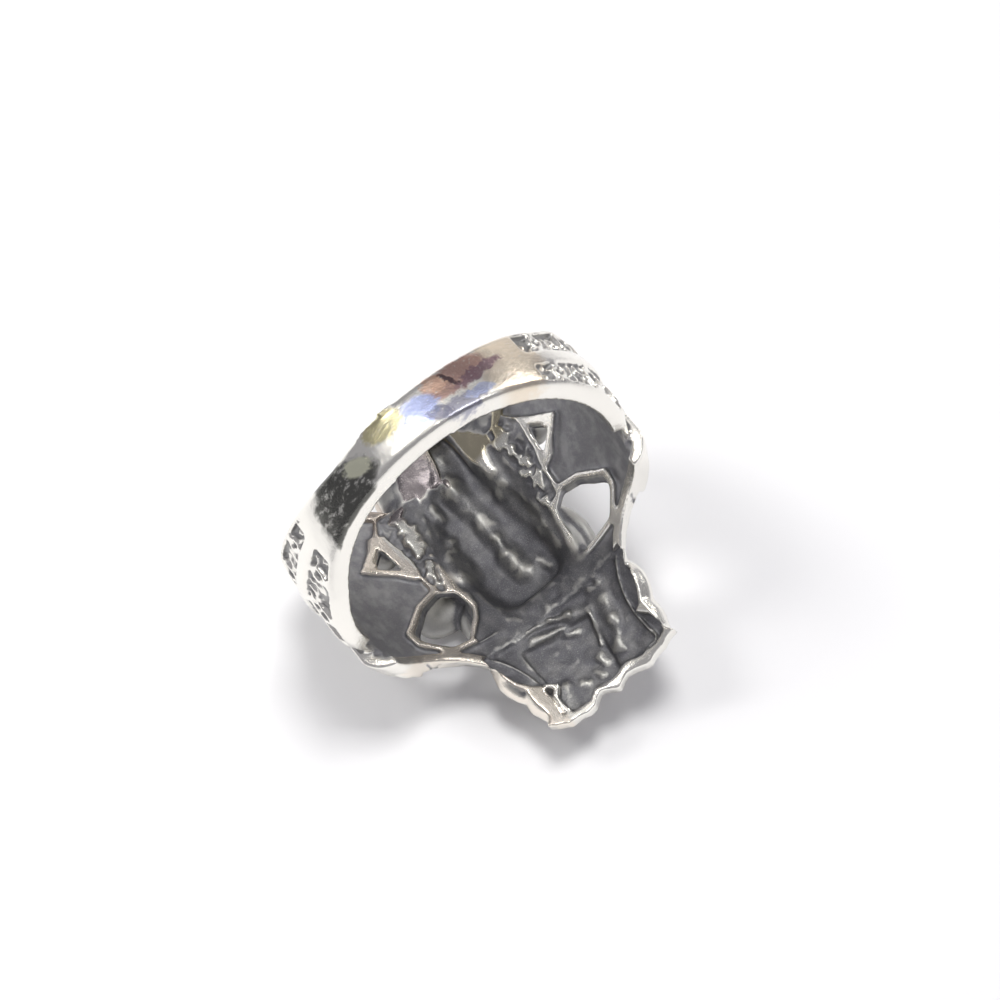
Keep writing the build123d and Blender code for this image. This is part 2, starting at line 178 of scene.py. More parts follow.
# Rounded lumps that flow into the casting: centre and half sizes in mm
Lump = namedtuple("Lump", "x y z halfX halfY halfZ")
lumps = [
    Lump(-3.1, -6.4, 10.9, 1.9, 2.3, 1.4),  # roots of the tusks beside the trunk
    Lump(3.8, -6.1, 10.8, 1.8, 2.0, 1.4),
    Lump(-1.6, -7.6, 10.9, 1.6, 1.7, 1.4),
    Lump(3.9, 2.8, 11.6, 1.35, 2.4, 1.1),  # folds between face and ear, seen through the temples' holes, black where the holes show the shaded table: painted shade
    Lump(-5.6, 1.1, 11.8, 2.2, 1.6, 1.0),
    Lump(-4.3, 3.4, 11.7, 1.3, 1.6, 1.1),
    Lump(6.4, -4.2, 10.2, 1.2, 1.3, 0.9),  # folds seen through the cheeks' holes
    Lump(-6.4, -4.2, 10.2, 1.2, 1.3, 0.9),
]

# The left temple's hole is filled at its corner next to the crown
holeCorner = [(-3.0, 5.5), (-3.0, 3.6), (-3.8, 1.6), (-3.95, 3.0), (-4.3, 3.7), (-5.3, 4.8), (-5.2, 5.5)]
cornerFill = {"outside": 0.1, "thick": 1.3}  # mm from the finger's wall, and from there outwards


def remeshed(ring, voxel):
    remesh = ring.modifiers.new("evenSkin", "REMESH")
    remesh.mode = "VOXEL"
    remesh.voxel_size = voxel
    applied(ring)
    print("ring remeshed:", len(ring.data.polygons), "faces")


def castRing():
    # the frame's ring with the lumps as one even skin, in the upright drawing
    skin = bmesh.new()
    skin.from_mesh(frame["nodes"]["ganesha_ring"].data)
    bmesh.ops.remove_doubles(skin, verts=skin.verts, dist=casting["weld"])
    skin.transform(laidDown.inverted())
    for lump in lumps:
        place = Matrix.Translation((lump.x, lump.y, lump.z))
        place = place @ Matrix.Diagonal((lump.halfX, lump.halfY, lump.halfZ, 1))
        bmesh.ops.create_icosphere(skin, subdivisions=casting["lumpSubdivisions"], radius=1, matrix=place)
    wallHeights = [math.sqrt(boreRadius**2 - x * x) + cornerFill["outside"] for x, y in holeCorner]
    corners = [skin.verts.new((x, y, height)) for (x, y), height in zip(holeCorner, wallHeights)]
    prism = bmesh.ops.extrude_face_region(skin, geom=[skin.faces.new(corners)])
    raised = [item for item in prism["geom"] if isinstance(item, bmesh.types.BMVert)]
    bmesh.ops.translate(skin, verts=raised, vec=(0, 0, cornerFill["thick"]))
    bmesh.ops.recalc_face_normals(skin, faces=skin.faces)
    mesh = bpy.data.meshes.new("ganeshaRing")
    skin.to_mesh(mesh)
    skin.free()
    ring = objectFrom("ganeshaRing", mesh)
    remeshed(ring, casting["voxel"])
    return ring


def thinned(ring):
    count = sum(len(face.vertices) - 2 for face in ring.data.polygons)
    if count > casting["triangles"]:
        decimate = ring.modifiers.new("thin", "DECIMATE")
        decimate.ratio = casting["triangles"] / count
        applied(ring)
    print("ring thinned:", len(ring.data.polygons), "faces")


def neighbourMean(values, edges, count):
    # the mean over each point's neighbours
    total = np.empty_like(values)
    for axis in range(values.shape[1]):
        sums = np.bincount(edges[:, 0], values[edges[:, 1], axis], len(values))
        sums += np.bincount(edges[:, 1], values[edges[:, 0], axis], len(values))
        total[:, axis] = sums / count
    return total


def readMesh(mesh):
    points = np.empty(len(mesh.vertices) * 3)
    mesh.vertices.foreach_get("co", points)
    normals = np.empty(len(mesh.vertices) * 3)
    mesh.vertices.foreach_get("normal", normals)
    edges = np.empty(len(mesh.edges) * 2, int)
    mesh.edges.foreach_get("vertices", edges)
    edges = edges.reshape(-1, 2)
    count = np.maximum(np.bincount(edges.ravel(), minlength=len(mesh.vertices)), 1)
    return points.reshape(-1, 3), normals.reshape(-1, 3), edges, count


def writePoints(ring, points):
    ring.data.vertices.foreach_set("co", points.ravel())
    ring.data.update()


def settled(points, edges, count, rounds, share=0.5):
    # the points after some rounds of smoothing, each by its own share
    points = points.copy()
    for index in range(rounds):
        points += share * (neighbourMean(points, edges, count) - points)
    return points


def settleRing(ring, rounds):
    points, normals, edges, count = readMesh(ring.data)
    writePoints(ring, settled(points, edges, count, rounds))


def store(mesh, name, values):
    layer = mesh.attributes.new(name, "FLOAT", "POINT")
    layer.data.foreach_set("value", values)


def ramp(values, low, high):
    # 0 below low, 1 above high, smooth between
    share = np.clip((values - low) / (high - low), 0.0, 1.0)
    return share * share * (3.0 - 2.0 * share)


def falling(values, limits):
    # 0 above the first limit, 1 below the second
    return ramp(-values, -limits[0], -limits[1])


def fromAxis(points):
    return np.hypot(points[:, 0], points[:, 2])


def pushOut(points, share):
    # moves points away from the finger's axis by a share of their distance
    points[:, 0] += points[:, 0] * share
    points[:, 2] += points[:, 2] * share


def roughness(points, size, octaves, seed):
    # fractal noise at each point, about -1 to 1
    place = Vector((seed * 17.3, seed * 5.1, seed * 11.7))
    return np.array([noise.fractal(Vector(point) / size + place, 0.9, 2.0, octaves) for point in points])


# A stroke of modelling: a ridge (or a groove, where its height is negative) between two places on the
# sheet that it is drawn on, and the share of the black that has worn off it
Stroke = namedtuple("Stroke", "startX startY endX endY width height worn")


def insideOutline(across, along, corners):
    # how far each place lies inside an outline; negative outside it
    distance = np.full(len(across), 99.0)
    inside = np.zeros(len(across), bool)
    for (startX, startY), (endX, endY) in zip(corners, corners[1:] + corners[:1]):
        dx, dy = endX - startX, endY - startY
        share = np.clip(((across - startX) * dx + (along - startY) * dy) / (dx * dx + dy * dy), 0.0, 1.0)
        distance = np.minimum(distance, np.hypot(across - startX - share * dx, along - startY - share * dy))
        crosses = (startY > along) != (endY > along)
        slope = dx / dy if dy else 0.0
        inside ^= crosses & (across < startX + (along - startY) * slope)
    return np.where(inside, distance, -distance)


def strokeFields(across, along, strokes):
    # how high the strokes stand at each place, and how worn they leave it
    height = np.zeros(len(across))
    worn = np.zeros(len(across))
    for stroke in strokes:
        dx, dy = stroke.endX - stroke.startX, stroke.endY - stroke.startY
        length = max(dx * dx + dy * dy, 1e-6)
        share = np.clip(((across - stroke.startX) * dx + (along - stroke.startY) * dy) / length, 0.0, 1.0)
        distance = np.hypot(across - stroke.startX - share * dx, along - stroke.startY - share * dy)
        fall = np.clip(1.0 - (distance / stroke.width) ** 2, 0.0, 1.0) ** 2
        height += fall * stroke.height
        worn = np.maximum(worn, fall * stroke.worn)
    return height, worn


# Inside the head, seen along X and Y of the drawing: soft ridges of the face's hollow, then those of
# the crown's hollow
channelStrokes = [
    Stroke(0.2, -8.2, -0.2, -4.7, 1.4, 0.6, 0.3),
    Stroke(-0.2, -5.0, 0.05, -0.4, 1.1, 0.5, 0.35),
    Stroke(0.0, -0.3, -0.3, 0.8, 0.6, 0.25, 0.55),
    Stroke(2.7, -5.6, 2.3, -2.4, 1.0, 0.45, 0.35),
    Stroke(2.3, -2.4, 2.8, 1.4, 0.95, 0.35, 0.3),
    Stroke(2.8, 1.4, 2.7, 3.2, 0.7, 0.3, 0.1),
    Stroke(-1.9, -4.3, -1.95, -3.6, 0.5, 0.4, 0.25),
    Stroke(-2.4, -1.9, -2.8, -1.2, 0.5, 0.45, 0.6),
    Stroke(-2.9, -0.6, -3.0, 0.9, 1.0, 0.55, 0.45),
    Stroke(0.0, 1.1, 0.1, 2.6, 1.1, 0.6, 0.5),
    Stroke(0.1, 0.2, 0.3, 1.6, 0.2, 0.12, 0.4),
    Stroke(0.5, 0.3, 0.6, 1.6, 0.18, 0.1, 0.4),
    Stroke(1.3, 2.6, 1.6, 3.4, 0.6, 0.2, 0.2),
    Stroke(0.4, -7.8, -0.6, -4.8, 0.9, 0.0, 0.9),  # worn only
    Stroke(3.0, 0.2, 2.8, 3.0, 0.9, 0.0, 0.6),
]
crownStrokes = [
    Stroke(-3.2, 6.6, -2.0, 6.6, 0.38, 0.15, 0.6),
    Stroke(-2.2, 6.6, -0.7, 6.8, 0.3, 0.26, 0.95),
    Stroke(-0.7, 6.8, 0.5, 7.3, 0.28, 0.26, 0.95),
    Stroke(0.5, 7.3, 1.5, 7.9, 0.56, 0.17, 0.45),
    Stroke(1.6, 8.2, 0.95, 10.2, 0.21, 0.22, 1.0),
    Stroke(-2.4, 7.3, -0.6, 7.8, 0.5, 0.17, 0.5),
    Stroke(-0.2, 8.1, 0.3, 8.5, 0.56, 0.19, 0.5),
    Stroke(0.4, 10.7, 0.5, 11.3, 0.62, 0.22, 0.7),
    Stroke(-0.4, 11.3, -0.2, 11.8, 0.5, 0.15, 0.5),
    Stroke(2.9, 8.1, 2.5, 9.5, 0.75, 0.22, 0.55),
    Stroke(2.5, 9.5, 1.7, 11.3, 0.56, 0.19, 0.6),
    Stroke(2.6, 7.0, 3.5, 7.4, 0.5, 0.17, 0.4),
    Stroke(3.3, 6.6, 3.4, 7.1, 0.38, 0.15, 0.4),
    Stroke(-2.8, 11.0, -3.1, 12.1, 0.75, 0.17, 0.7),
    Stroke(-1.7, 11.3, -1.3, 11.6, 0.5, 0.15, 0.6),
    Stroke(3.4, 10.9, 3.9, 12.2, 0.75, -0.19, 0.0),
    Stroke(3.6, 11.9, 3.9, 12.2, 0.38, 0.11, 0.6),
]

# Punch marks without a meaning, between the two hollows
punchStrokes = [
    Stroke(1.1, 3.5, 1.3, 3.8, 0.16, -0.14, 0.0),
    Stroke(1.2, 4.9, 1.5, 5.1, 0.16, -0.14, 0.0),
    Stroke(1.8, 5.6, 2.0, 5.9, 0.15, -0.12, 0.0),
    Stroke(0.5, 5.8, 0.8, 5.9, 0.15, -0.12, 0.0),
    Stroke(-2.4, 3.9, -2.2, 4.2, 0.16, -0.14, 0.0),
    Stroke(-2.1, 5.0, -2.0, 5.4, 0.16, -0.14, 0.0),
    Stroke(-1.5, 5.6, -1.3, 5.8, 0.15, -0.12, 0.0),
    Stroke(-1.2, 4.7, -1.0, 5.0, 0.15, -0.12, 0.0),
]

# The rough strips beside the hollow: crumpled metal, here worn bright and there sunk and black
roughPatches = [
    Stroke(4.5, -5.3, 4.5, -4.2, 0.45, 0.25, 1.0),
    Stroke(4.0, -4.6, 4.4, -3.2, 0.4, 0.2, 0.7),
    Stroke(5.1, -3.2, 5.3, -2.4, 0.5, -0.35, 0.0),
    Stroke(4.4, -2.6, 4.8, -1.7, 0.35, 0.22, 0.9),
    Stroke(4.1, -1.8, 4.3, -0.6, 0.4, 0.15, 0.7),
    Stroke(4.8, -0.8, 4.5, -0.2, 0.35, 0.2, 1.0),
    Stroke(3.9, 0.2, 4.0, 0.9, 0.3, 0.15, 0.9),
    Stroke(-3.6, -5.3, -4.3, -5.0, 0.3, 0.2, 0.9),
    Stroke(-4.2, -4.9, -3.9, -3.4, 0.6, 0.2, 1.0),
    Stroke(-4.3, -3.2, -4.2, -2.2, 0.6, 0.2, 1.0),
    Stroke(-4.9, -3.9, -5.0, -2.2, 0.45, -0.25, 0.0),
    Stroke(-4.6, -1.7, -4.4, -1.2, 0.3, -0.15, 0.1),
    Stroke(-4.2, -1.2, -4.5, -0.4, 0.35, 0.2, 0.95),
    Stroke(-4.5, -0.2, -4.6, 0.6, 0.35, 0.15, 0.9),
]

# Outlines on the same sheet: the inner edge of the crown's rim, and the two rough strips
crownInnerEdge = [
    (5.7, 6.2), (5.6, 7.9), (4.85, 9.5), (4.3, 10.3), (3.8, 10.5), (4.4, 11.3), (4.6, 12.2), (4.4, 12.75),
    (3.5, 12.95), (2.4, 12.8), (1.4, 12.4), (0.4, 12.7), (-0.6, 12.7), (-1.3, 12.45), (-1.9, 12.95),
    (-3.1, 12.95), (-3.5, 12.4), (-3.6, 11.6), (-3.0, 10.8), (-3.5, 10.4), (-4.1, 10.0), (-4.7, 9.3),
    (-5.4, 7.6), (-5.5, 6.2),
]
stripEdges = [
    [(3.8, -5.5), (5.3, -5.5), (5.9, -4.5), (5.5, -2.2), (5.1, -0.4), (4.7, 1.0), (3.8, 1.2), (3.6, -1.5)],
    [(-2.3, -5.5), (-5.2, -5.5), (-5.7, -4.5), (-5.3, -2.2), (-5.1, -0.4), (-4.9, 1.2), (-4.5, 1.2),
     (-4.0, -0.6), (-3.4, -2.1), (-2.8, -3.7)],
]

# Sunk again to the hollow's floor, beside the left temple's hole
sunkEdge = [
    (-2.9, 5.6), (-2.7, 3.4), (-3.3, 1.0), (-3.5, 1.6), (-3.55, 3.1), (-4.0, 4.0), (-5.0, 5.1), (-4.9, 5.8),
]

# The broad frames of the cheeks' holes, raised to the finger's wall
framePlates = [
    [(6.1, -4.7), (7.9, -2.4), (6.5, -0.9), (5.5, -0.7), (5.6, -1.8), (5.9, -3.5)],
    [(-7.7, -2.7), (-6.5, -4.6), (-5.4, -4.3), (-4.9, -1.3), (-5.1, -0.3), (-5.8, -0.3), (-6.9, -1.5)],
]

# How far the crown's end moves along the finger, by place across it
crownEndPlaces = [-5.1, -4.6, -3.8, -2.6, -1.9, -1.1, -0.2, 0.9, 2.1, 2.8, 3.8, 5.1]
crownEndMoves = [-0.8, -0.1, 0.5, 0.3, 0.4, -0.15, 0.1, 0.05, 0.4, 0.35, 0.45, -0.3]

# On the band's back, seen along the arc from its middle and along the finger
backStrokes = [
    Stroke(-2.2, -1.6, 0.2, -1.4, 0.6, 0.34, 0.0),
    Stroke(4.2, -2.0, 4.4, -2.2, 0.16, 0.25, 0.0),
    Stroke(-9.3, -1.5, -9.2, -1.4, 0.2, -0.2, 0.0),
    Stroke(-4.9, -0.9, -3.6, -0.9, 0.1, 0.05, 0.0),
    Stroke(-4.7, 0.1, -5.3, 0.5, 0.08, 0.06, 0.0),
]

# Below, lengths are in mm, and a pair is where something begins and where it is full, unless its note
# says otherwise
headInside = {
    "facing": (0.25, 0.6),  # how far a surface faces the finger to count as inside
    "from": 1.4,  # height in the drawing
    "reach": 11.2,  # from the finger's axis
    "black": (0.07, 0.2),  # below the finger's wall
    "least": 0.01,  # share from which a point is modelled
    "warpSize": 1.1,
    "warp": 0.22,
    "warpAcross": 0.6,  # the warp from ear to ear, as a share of that along the finger
    "lumpSize": 1.3,
    "lump": 0.11,
    "grainSize": 0.25,
    "grain": 0.025,
    "frontFrom": 3.0,  # height in the drawing from which what faces outward is the head's front
}

# The hollow behind the face
faceHollow = {
    "halfWidth": (4.2, 3.4),
    "trunkEnd": (-9.0, -8.0),
    "crownEnd": (6.2, 5.2),
    "facing": (0.25, 0.0),
    "lowest": 5.0,
    "reach": 14.0,
    "insideHalfWidth": 3.4,
    "insideReach": 14.2,
    "softHalfWidth": (5.0, 3.4),  # where its floor is lumpy
    "softEnds": (-8.4, 6.4),  # from and to
    "rounds": 120,  # of smoothing, until its sides roll into its floor
    "ridgeRounds": 7,  # of smoothing once the ridges stand
    "depthPlaces": (-5.0, 0.0),
    "depths": (1.1, 1.9),  # at those places along the finger, from the trunk's end to the brow
}


def headPlaces(points, normals):
    # how far each point faces away from the finger, and how far it belongs to the inside of the head
    radius = fromAxis(points)
    outward = (points[:, 0] * normals[:, 0] + points[:, 2] * normals[:, 2]) / radius
    inFace = (abs(points[:, 0]) < faceHollow["insideHalfWidth"]) & (radius < faceHollow["insideReach"])
    inHead = (points[:, 2] > headInside["from"]) & (inFace | (radius < headInside["reach"]))
    return outward, ramp(-outward, *headInside["facing"]) * inHead


def hollowFace(points, edges, count, outward):
    # makes the hollow behind the face shallow and smooth; gives how far each point belongs to it
    radius = fromAxis(points)
    inHollow = falling(abs(points[:, 0]), faceHollow["halfWidth"])
    inHollow *= ramp(points[:, 1], *faceHollow["trunkEnd"]) * falling(points[:, 1], faceHollow["crownEnd"])
    inHollow *= (points[:, 2] > faceHollow["lowest"]) * (radius < faceHollow["reach"])
    inHollow *= falling(outward, faceHollow["facing"])
    limit = boreRadius + np.interp(points[:, 1], faceHollow["depthPlaces"], faceHollow["depths"])
    pushOut(points, inHollow * (np.minimum(limit / radius, 1.0) - 1.0))
    points[:] = settled(points, edges, count, faceHollow["rounds"], 0.5 * inHollow[:, None])
    return inHollow


roughStrips = {
    "edge": (-0.08, 0.1),  # inside their outlines
    "ends": (-5.6, 1.3),  # from and to, along the finger
    "reach": 10.6,
    "sink": 0.3,  # below the finger's wall, away from the worn patches
    "crumpleSize": 0.5,
    "crumpleFrom": 0.3,  # as a value of its noise
    "crumple": 0.3,
    "tatterSize": 0.5,
    "tatter": 0.28,  # how ragged the worn patches are
}


def raiseStrips(spot, across, along, newRadius):
    # the crumpled strips, up to the finger's wall where they are worn
    strips = np.zeros(len(spot))
    for edge in stripEdges:
        strips = np.maximum(strips, ramp(insideOutline(across, along, edge), *roughStrips["edge"]))
    low, high = roughStrips["ends"]
    strips *= (spot[:, 1] < high) * (spot[:, 1] > low) * (fromAxis(spot) < roughStrips["reach"])
    tatter = roughness(spot, roughStrips["tatterSize"], 3, 10) * roughStrips["tatter"]
    patch, worn = strokeFields(across + tatter, along - tatter, roughPatches)
    crumple = roughStrips["crumpleFrom"] - abs(roughness(spot, roughStrips["crumpleSize"], 3, 6))
    rise = patch + crumple * roughStrips["crumple"] - roughStrips["sink"] * (1.0 - worn)
    newRadius += strips * (boreRadius + np.maximum(-rise, 0.0) - newRadius)


cheekFrames = {"edge": (-0.06, 0.1), "reach": 10.6, "sink": 0.03, "warp": 0.4}


def raiseFrames(spot, warpX, warpY, newRadius):
    # the broad frames of the cheeks' holes
    across = spot[:, 0] + warpX * cheekFrames["warp"]
    along = spot[:, 1] + warpY * cheekFrames["warp"]
    for plate in framePlates:
        onFrame = ramp(insideOutline(across, along, plate), *cheekFrames["edge"])
        onFrame *= fromAxis(spot) < cheekFrames["reach"]
        newRadius += onFrame * (boreRadius + cheekFrames["sink"] - newRadius)


crownHollow = {
    "zone": (-0.4, -0.3),  # inside the rim's inner edge, so just outside it
    "edge": (-0.04, 0.12),
    "from": 6.6,  # along the finger
    "reach": 11.0,
    "floor": 0.55,  # below the finger's wall
    "endFrom": (10.8, 12.6),  # along the finger, where the scalloped end moves
}
sunkCorner = {"edge": (-0.05, 0.1), "reach": 10.5, "floor": 0.4}


def moveCrownEnd(points):
    move = np.interp(points[:, 0], crownEndPlaces, crownEndMoves)
    move *= ramp(points[:, 1], *crownHollow["endFrom"])
    points[:, 1] += move * (points[:, 2] > headInside["frontFrom"])


def modelInside(points, inside, inHollow):
    # the relief inside the head: a new distance from the finger's axis for each point
    here = np.nonzero((inside > headInside["least"]) | (inHollow > headInside["least"]))[0]
    spot = points[here]
    x, y = spot[:, 0], spot[:, 1]
    radius = fromAxis(spot)
    warpX = roughness(spot, headInside["warpSize"], 2, 4) * headInside["warp"]
    warpY = roughness(spot, headInside["warpSize"], 2, 5) * headInside["warp"]
    across, along = x + warpX * headInside["warpAcross"], y + warpY
    crownInset = insideOutline(x, y, crownInnerEdge)
    crownZone = ramp(crownInset, *crownHollow["zone"]) * (y > crownHollow["from"])
    height = strokeFields(across, along, channelStrokes)[0] + strokeFields(x, y, punchStrokes)[0]
    lump = roughness(spot, headInside["lumpSize"], 3, 1) * headInside["lump"]
    grain = roughness(spot, headInside["grainSize"], 2, 2) * headInside["grain"]
    low, high = faceHollow["softEnds"]
    soft = falling(abs(x), faceHollow["softHalfWidth"]) * (y > low) * (y < high)
    rise = height + lump * np.maximum(soft, crownZone) + grain
    newRadius = radius - rise * ramp(radius - boreRadius, *headInside["black"])
    raiseStrips(spot, across, along, newRadius)
    raiseFrames(spot, warpX, warpY, newRadius)

    # the crown's hollow: its floor inside the rim's edge, the finger's wall outside it
    crownHeight = strokeFields(across, along, crownStrokes)[0]
    floor = np.maximum(radius, boreRadius + crownHollow["floor"]) - crownHeight - lump
    rim = boreRadius + ramp(crownInset, *crownHollow["edge"]) * (floor - boreRadius)
    newRadius += crownZone * (radius < crownHollow["reach"]) * (rim - newRadius)
    sunk = ramp(insideOutline(x, y, sunkEdge), *sunkCorner["edge"]) * (radius < sunkCorner["reach"])
    newRadius += sunk * np.maximum(boreRadius + sunkCorner["floor"] - newRadius, 0.0)
    newRadius = np.maximum(newRadius, boreRadius)
    pushOut(spot, (newRadius - radius) / radius * np.maximum(inside[here], inHollow[here]))
    points[here] = spot
    print("ring hollowed:", len(here), "points inside")


# The band's back and edges. The edges are cast wider than drawn: by so much at each angle
bandCast = {
    "radius": 11.3,  # of its back
    "facing": (0.0, 0.5),
    "from": 10.5,  # radius
    "halfTurn": 1.0,  # radians each side of the back's middle
    "least": 0.01,  # share from which a point is modelled
    "crustFrom": 0.03,  # height of a deposit
    "crustSize": 0.4,
    "crust": 1.6,  # how rough a deposit is, as a share of its height
    "nearAngles": [-145, -130, -118, -105, -90, -78],  # degrees round the finger from the face
    "nearMoves": [0.0, 0.25, 0.6, 0.6, 0.4, 0.0],  # left shoulder, crown side
    "nearEdge": (0.8, 2.0),
    "farTurns": [-40, -25, -10, 5, 20, 35, 50, 62],  # degrees from the back's middle
    "farMoves": [0.0, 0.0, 0.4, 0.6, 0.6, 0.5, 0.3, 0.0],  # back, trunk side
    "farEdge": (0.2, 1.0),
}


def modelBack(points, outward):
    # deposits and a dent on the band's back, and its wider edges
    radius = fromAxis(points)
    turn = np.arctan2(points[:, 0], -points[:, 2])
    onBack = (radius > bandCast["from"]) * (abs(turn) < bandCast["halfTurn"])
    back = ramp(outward, *bandCast["facing"]) * onBack
    there = np.nonzero(back > bandCast["least"])[0]
    spot = points[there]
    rise = strokeFields(turn[there] * bandCast["radius"], spot[:, 1], backStrokes)[0]
    crust = 1.0 + roughness(spot, bandCast["crustSize"], 3, 3) * bandCast["crust"]
    crust = np.where(rise > bandCast["crustFrom"], crust, 1.0)
    pushOut(spot, rise * crust * back[there] / radius[there])
    points[there] = spot
    angle = np.degrees(np.arctan2(points[:, 0], points[:, 2]))
    nearMove = np.interp(angle, bandCast["nearAngles"], bandCast["nearMoves"])
    points[:, 1] += nearMove * ramp(points[:, 1], *bandCast["nearEdge"])
    farMove = np.interp(np.degrees(turn), bandCast["farTurns"], bandCast["farMoves"]) * (points[:, 2] < 0)
    points[:, 1] -= farMove * ramp(-points[:, 1], *bandCast["farEdge"])


# Arched strokes in the floors of the shoulders' panels
panelRelief = {
    "turns": (78.0, 130.0),  # degrees round the finger from the face
    "fade": 2.0,  # degrees
    "halfWidths": (2.9, 2.1),  # of the band, at those two turns
    "domeRadius": 11.5,
    "domeDrop": 0.65,  # from the middle of the dome to its rim
    "floorDepth": (0.1, 0.35),  # below the dome
    "bar": (0.55, 0.75),  # from the middle of the plain bar between the panels
    "facing": 0.5,
    "arcRadius": 11.0,
    "bowMiddle": 1.35,
    "bow": 0.9,
    "sway": 0.25,
    "swayAlong": 5.0,
    "swayHeight": 1.7,
    "spacing": 0.95,
    "crest": (-0.1, 0.8),
    "height": 0.24,
}


def modelPanels(points, outward):
    # arches on the panels' floors, which lie below the band's dome
    radius = fromAxis(points)
    angle = abs(np.degrees(np.arctan2(points[:, 0], points[:, 2])))
    y, z = points[:, 1], points[:, 2]
    low, high = panelRelief["turns"]
    fade = panelRelief["fade"]
    width = np.interp(angle, [low, high], panelRelief["halfWidths"])
    dome = panelRelief["domeRadius"] - panelRelief["domeDrop"] * (y / width) ** 2
    onFloor = ramp(angle, low, low + fade) * falling(angle, (high, high - fade))
    onFloor *= outward > panelRelief["facing"]
    onFloor *= ramp(dome - radius, *panelRelief["floorDepth"]) * ramp(abs(y), *panelRelief["bar"])
    arc = np.radians(angle) * panelRelief["arcRadius"]
    bow = (abs(y) - panelRelief["bowMiddle"]) ** 2 * panelRelief["bow"]
    sway = np.sin(y * panelRelief["swayAlong"] + z * panelRelief["swayHeight"]) * panelRelief["sway"]
    wave = np.sin(2.0 * math.pi * (arc - bow + sway) / panelRelief["spacing"])
    pushOut(points, ramp(wave, *panelRelief["crest"]) * onFloor * panelRelief["height"] / radius)


frontSkin = {
    "facing": 0.15,
    "softSize": 1.1,
    "soft": 0.04,
    "creaseSize": 1.7,
    "creaseWidth": 0.1,  # as a value of its noise
    "crease": 0.06,
}


def modelFront(points, normals, outward):
    # the front's skin: soft unevenness and fine creases
    front = np.nonzero((outward > frontSkin["facing"]) & (points[:, 2] > headInside["frontFrom"]))[0]
    soft = roughness(points[front], frontSkin["softSize"], 3, 8) * frontSkin["soft"]
    fold = -abs(roughness(points[front], frontSkin["creaseSize"], 2, 9))
    crease = ramp(fold, -frontSkin["creaseWidth"], 0.0) * frontSkin["crease"]
    points[front] += normals[front] * (soft - crease)[:, None]


def keepHoleOpen(points):
    # nothing reaches into the finger hole
    pushOut(points, np.maximum(boreRadius / fromAxis(points), 1.0) - 1.0)


def shapeRing(ring):
    # models the relief on the even skin
    points, normals, edges, count = readMesh(ring.data)
    moveCrownEnd(points)
    outward, inside = headPlaces(points, normals)
    inHollow = hollowFace(points, edges, count, outward)
    modelInside(points, inside, inHollow)
    points[:] = settled(points, edges, count, faceHollow["ridgeRounds"], 0.5 * inHollow[:, None])
    modelBack(points, outward)
    modelPanels(points, outward)
    modelFront(points, normals, outward)
    keepHoleOpen(points)
    writePoints(ring, points)
    print("ring shaped:", len(points), "points")


# The holes at temples and cheeks, whose walls are black (behind the temples' holes the same black covers
# the folds that are painted shade): from the middle towards the ears they begin at inner and are full
# after fade, and each mm away from the finger lets them reach splay mm further towards the trunk
Opening = namedtuple("Opening", "inner fade trunkEnd crownEnd splay")
openings = [Opening(2.8, 0.2, 0.9, 5.6, 0.7), Opening(4.9, 0.0001, -5.0, -0.2, 0.5)]

# How the finish reads the shape
reading = {
    "wallsOuter": 8.4,  # from the head's middle towards each ear
    "wallsFacing": 0.7,
    "wallsBelow": (0.1, 0.25),  # the finger's wall
    "proud": (0.14, 0.02),  # below the finger's wall, where the strips are rubbed bright
    "stripEdge": (-0.05, 0.1),
    "inwardFacing": (-0.4, -0.1),
    "inwardReach": (12.6, 12.2),
    "fraySize": 0.7,
    "fray": 0.25,
    "tarnishEdge": (-0.12, 0.15),
    "tarnishFacing": 0.2,
    "tarnishBelow": -4.0,  # height in the drawing
    "edgeRounds": 6,  # rounds of smoothing that an edge stands out against
    "depthRounds": 60,  # and those that a hollow lies below
}


def openingWalls(points, radius, outward):
    across, along = abs(points[:, 0]), points[:, 1]
    low, high = reading["wallsBelow"]
    below = radius - boreRadius - low
    walls = np.zeros(len(points))
    for opening in openings:
        wall = ramp(across, opening.inner, opening.inner + opening.fade) * (across < reading["wallsOuter"])
        wall *= (along > opening.trunkEnd - below * opening.splay) * (along < opening.crownEnd)
        walls = np.maximum(walls, wall)
    walls *= ramp(below, 0.0, high - low)
    return walls * (outward < reading["wallsFacing"]) * (points[:, 2] > headInside["frontFrom"])


